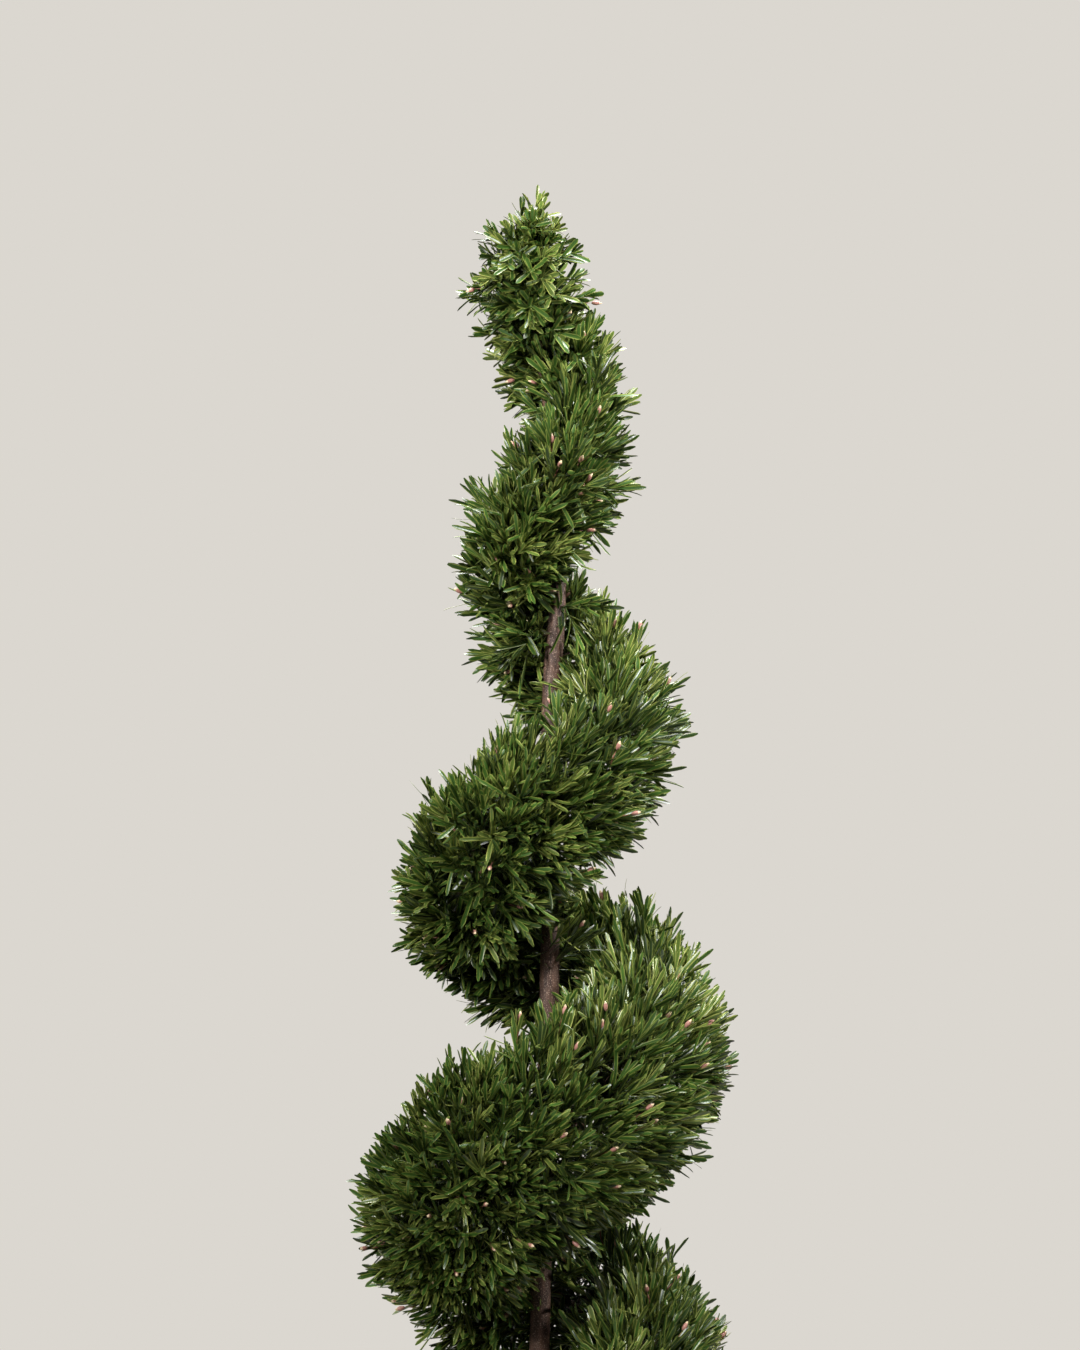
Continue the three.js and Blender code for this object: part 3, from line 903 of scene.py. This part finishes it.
def makePot():
    top, rimFoot, wall = pot["height"], pot["height"] - pot["rimBand"], pot["wall"]
    outer, inner = pot["rimRadius"] + pot["rimProud"], pot["rimRadius"] - wall
    edge, groove, lower, lip = (pot[key] for key in ("footEdge", "grooveEdge", "bandEdge", "lipEdge"))
    grooveOut, grooveUp = pot["grooveAt"]
    profile = [(0, 0), (pot["footRadius"] - 2 * edge, 0)]
    profile += arc(pot["footRadius"] - edge, edge, edge, -90, -10)
    profile += [(potRadiusAt(h), h) for h in np.linspace(2 * edge, rimFoot - 0.001, 16)]
    profile += arc(potRadiusAt(rimFoot) + grooveOut, rimFoot + grooveUp, groove, 180, 90, 4)
    profile += arc(outer - lower, rimFoot + groove + pot["bandRise"], lower, -80, 0, 5)
    profile += arc(outer - lip, top - lip, lip, 0, 90)
    profile += arc(inner + lip, top - lip, lip, 90, 180)
    profile += [(potRadiusAt(h) - wall, h) for h in np.linspace(top - 4 * lip, 2 * wall, 12)]
    profile += [(potRadiusAt(wall) - wall - pot["insideCorner"], wall), (0, wall)]
    mesh = spun("plainPot", profile, pot["segments"])
    # Injection-moulded polypropylene: charcoal, finely sparked so that it scatters light softly.
    material, tree, shader = newMaterial("mouldedPolypropylene", pot["charcoal"][1], 0.5)
    place = addNode(tree, "ShaderNodeTexCoord").outputs["Object"]
    grit = addNode(tree, "ShaderNodeTexNoise", values={"Scale": pot["sparks"], "Detail": 2},
                   links={"Vector": place})
    cloud = addNode(tree, "ShaderNodeTexNoise", values={"Scale": pot["cloud"], "Detail": 4},
                    links={"Vector": place})
    colour = ramp(tree, cloud.outputs["Fac"], list(zip((0.35, 0.7), pot["charcoal"])))
    tree.links.new(colour.outputs["Color"], shader.inputs["Base Color"])
    gloss = ramp(tree, cloud.outputs["Fac"], list(zip((0.3, 0.7), pot["roughness"])))
    tree.links.new(gloss.outputs["Color"], shader.inputs["Roughness"])
    bump = addNode(tree, "ShaderNodeBump", values={"Strength": 0.35, "Distance": 0.0003},
                   links={"Height": grit.outputs["Fac"]})
    tree.links.new(bump.outputs["Normal"], shader.inputs["Normal"])
    addPiece("plainPot", mesh, [material], ["pot"])
    print("pot made")


makePot()

fill = {
    "depth": 0.016,  # below the pot's rim, at the wall
    "crown": 0.005,
    "gap": 0.0004,  # from the pot's wall
    "footGap": 0.0005,
    "rings": 40,
    "segments": 120,
    "lumps": 0.0022,
    "lumpFineness": 90,
    "sink": 0.001,
    "calmEdge": 0.006,  # the lumps die out over this width at the wall
    # from each crumb's middle out to the gaps: the peat's own brown, then painted shade in the gaps between
    # crumbs
    "peatAndGapShade": ("#4c3a2b", "#2b2018", "#17110d"),
    "crumbs": 420,
    "chips": 900,
    "chipSize": (0.004, 0.010),
    "chipWidth": (0.45, 0.8),  # over the length, and so is the thickness
    "chipThickness": (0.2, 0.35),
    "chipLift": (-0.0005, 0.002),
    "chipTilt": 0.25,
    "chipLumps": (0.25, 7),  # depth over the radius, and fineness
    "chipGrain": 600,
    "poleRoom": 0.012,  # no chip's middle lies nearer the axis than this
    "chipColours": {"chipsBrown": "#5b3e2b", "chipsDark": "#3c2a20"},
}


def fillHeight(radius):
    rim = potRadiusAt(pot["height"] - fill["depth"]) - pot["wall"]
    return pot["height"] - fill["depth"] + fill["crown"] * (1 - (radius / rim) ** 2)


def makeFill():
    top, wall = pot["height"] - fill["depth"], pot["wall"]
    inside = potRadiusAt(top) - wall - fill["gap"]
    under = wall + fill["footGap"]
    footRadius = potRadiusAt(wall + 2 * fill["footGap"]) - wall - pot["insideCorner"]
    profile = [(0, under), (footRadius, under)]
    profile += [(r, fillHeight(r)) for r in np.linspace(inside, 0.0, fill["rings"])]
    mesh = spun("pottingFill", profile, fill["segments"])
    for v in mesh.vertices:
        if v.co.z > top / 2:
            calm = min(1, (inside - math.hypot(v.co.x, v.co.y)) / fill["calmEdge"])
            lump = noise.fractal(v.co * fill["lumpFineness"], 1.0, 2.0, 4)
            v.co.z += fill["lumps"] * calm * lump - fill["sink"] * calm
    # Dry peat-like dressing: dark, crumbly and dull, and darker from each crumb's middle out to the low gaps
    # between crumbs, as painted shade in the gaps.
    material, tree, shader = newMaterial("dryDressing", fill["peatAndGapShade"][1], 0.95)
    place = addNode(tree, "ShaderNodeTexCoord").outputs["Object"]
    crumbs = addNode(tree, "ShaderNodeTexVoronoi", values={"Scale": fill["crumbs"]}, links={"Vector": place})
    tone = ramp(tree, crumbs.outputs["Distance"], list(zip((0.0, 0.55, 1.0), fill["peatAndGapShade"])))
    tree.links.new(tone.outputs["Color"], shader.inputs["Base Color"])
    bump = addNode(tree, "ShaderNodeBump", values={"Strength": 0.8, "Distance": 0.0015},
                   links={"Height": crumbs.outputs["Distance"]})
    bump.invert = True
    tree.links.new(bump.outputs["Normal"], shader.inputs["Normal"])
    addPiece("pottingFill", mesh, [material], ["pot_fill"])
    makeChips(inside)


# Bark chips strewn on the fill, clear of the pole.
def makeChips(inside):
    bm = bmesh.new()
    bmesh.ops.create_icosphere(bm, subdivisions=1, radius=0.5)
    lumps, fineness = fill["chipLumps"]
    for v in bm.verts:
        v.co = v.co * (1 + lumps * noise.noise(v.co * fineness))
    shape = readShape(bm)
    count = fill["chips"]
    radius = (inside - fill["chipSize"][0]) * np.sqrt(rng.random(count))
    bearing = rng.random(count) * 2 * np.pi
    clear = radius > fill["poleRoom"]
    radius, bearing = radius[clear], bearing[clear]
    count = len(radius)
    height = fillHeight(radius) + rng.uniform(*fill["chipLift"], count)
    place = np.stack([radius * np.cos(bearing), radius * np.sin(bearing), height], 1)
    length = rng.uniform(*fill["chipSize"], (count, 1))
    width = rng.uniform(*fill["chipWidth"], count)
    thickness = rng.uniform(*fill["chipThickness"], count)
    size = length * np.stack([np.ones(count), width, thickness], 1)
    along = rng.normal(0, 1, (count, 3)) * [1, 1, fill["chipTilt"]]
    nearlyUp = np.tile([0.05, 0.1, 1.0], (count, 1))
    spin = turnsOf(along, nearlyUp)
    # Shredded bark: split along its grain, half of it red-brown and half dark and weathered.
    for part, (name, colour) in enumerate(fill["chipColours"].items()):
        chosen = np.arange(part, count, len(fill["chipColours"]))
        own, tree, shader = newMaterial(name, colour, 0.9)
        where = addNode(tree, "ShaderNodeTexCoord").outputs["Object"]
        grain = addNode(tree, "ShaderNodeTexNoise", values={"Scale": fill["chipGrain"], "Detail": 3},
                        links={"Vector": where})
        bump = addNode(tree, "ShaderNodeBump", values={"Strength": 0.5, "Distance": 0.0004},
                       links={"Height": grain.outputs["Fac"]})
        tree.links.new(bump.outputs["Normal"], shader.inputs["Normal"])
        turned = spin[chosen] * size[chosen][:, None, :]
        mesh = joinedCopies(name, shape, np.zeros(len(chosen), int), turned, place[chosen], flat=True)
        addPiece(name, mesh, [own], [])
    print("fill made, with", count, "chips")


makeFill()

studio = {
    "backdrop": "#dbd7d0",
    "floor": "#aeaaa3",
    "floorRadius": 2.0,
    "ambient": 0.03,  # the backdrop's own light on the plant
    "distance": 3.5,
    "frameHeight": 1.1475,
    "aim": (0.0017, 0, 1.092),
}

lights = {  # place, aim, size, watts and spread in degrees
    "key": ((0.9, -1.8, 2.6), (0, 0, 1.36), 0.6, 7.8, 65),
    "fill": ((-1.4, -2.0, 1.9), (0, 0, 1.25), 0.7, 11, 60),
    "top": ((0.1, 0.6, 3.1), (0, 0, 1.25), 1.4, 25, 70),
    "sideRight": ((2.2, -0.7, 2.3), (0, 0, 1.28), 0.9, 8.5, 46),
    "rimLeft": ((-1.9, 0.8, 2.5), (0, 0, 1.2), 1.4, 3, 50),
}


# A pale floor, and a backdrop that is bright to look at but lights the plant only a little.
def makeStage():
    bm = bmesh.new()
    bmesh.ops.create_circle(bm, cap_ends=True, segments=128, radius=studio["floorRadius"])
    mesh = bpy.data.meshes.new("floor")
    bm.to_mesh(mesh)
    bm.free()
    floor = bpy.data.objects.new("floor", mesh)
    scene.collection.objects.link(floor)
    mesh.materials.append(newMaterial("paleFloor", studio["floor"], 0.9)[0])
    world = bpy.data.worlds.new("studio")
    scene.world = world
    world.use_nodes = True
    tree = world.node_tree
    back = tree.nodes["Background"]
    back.inputs["Color"].default_value = hexColour(studio["backdrop"])
    seen = addNode(tree, "ShaderNodeLightPath").outputs["Is Camera Ray"]
    level = addNode(tree, "ShaderNodeMapRange", values={"To Min": studio["ambient"], "To Max": 1.0},
                    links={"Value": seen})
    tree.links.new(level.outputs["Result"], back.inputs["Strength"])


# A round soft light aimed at the plant.
def addLight(name, place, aim, size, power, spread):
    data = bpy.data.lights.new(name, "AREA")
    data.shape = "DISK"
    data.size = size
    data.spread = math.radians(spread)
    data.energy = power
    lamp = bpy.data.objects.new(name, data)
    scene.collection.objects.link(lamp)
    lamp.location = place
    lamp.rotation_euler = (Vector(aim) - Vector(place)).to_track_quat("-Z", "Y").to_euler()


# A level camera in front that takes in the frame's height at the plant.
def makeCamera():
    data = bpy.data.cameras.new("camera")
    data.lens = data.sensor_width * studio["distance"] / studio["frameHeight"]
    data.clip_end = 50
    camera = bpy.data.objects.new("camera", data)
    scene.collection.objects.link(camera)
    camera.location = Vector(studio["aim"]) - Vector((0, studio["distance"], 0))
    camera.rotation_euler = (math.radians(90), 0, 0)
    scene.camera = camera


makeStage()
for name, settings in lights.items():
    addLight(name, *settings)
makeCamera()
scene.view_settings.view_transform = "Standard"
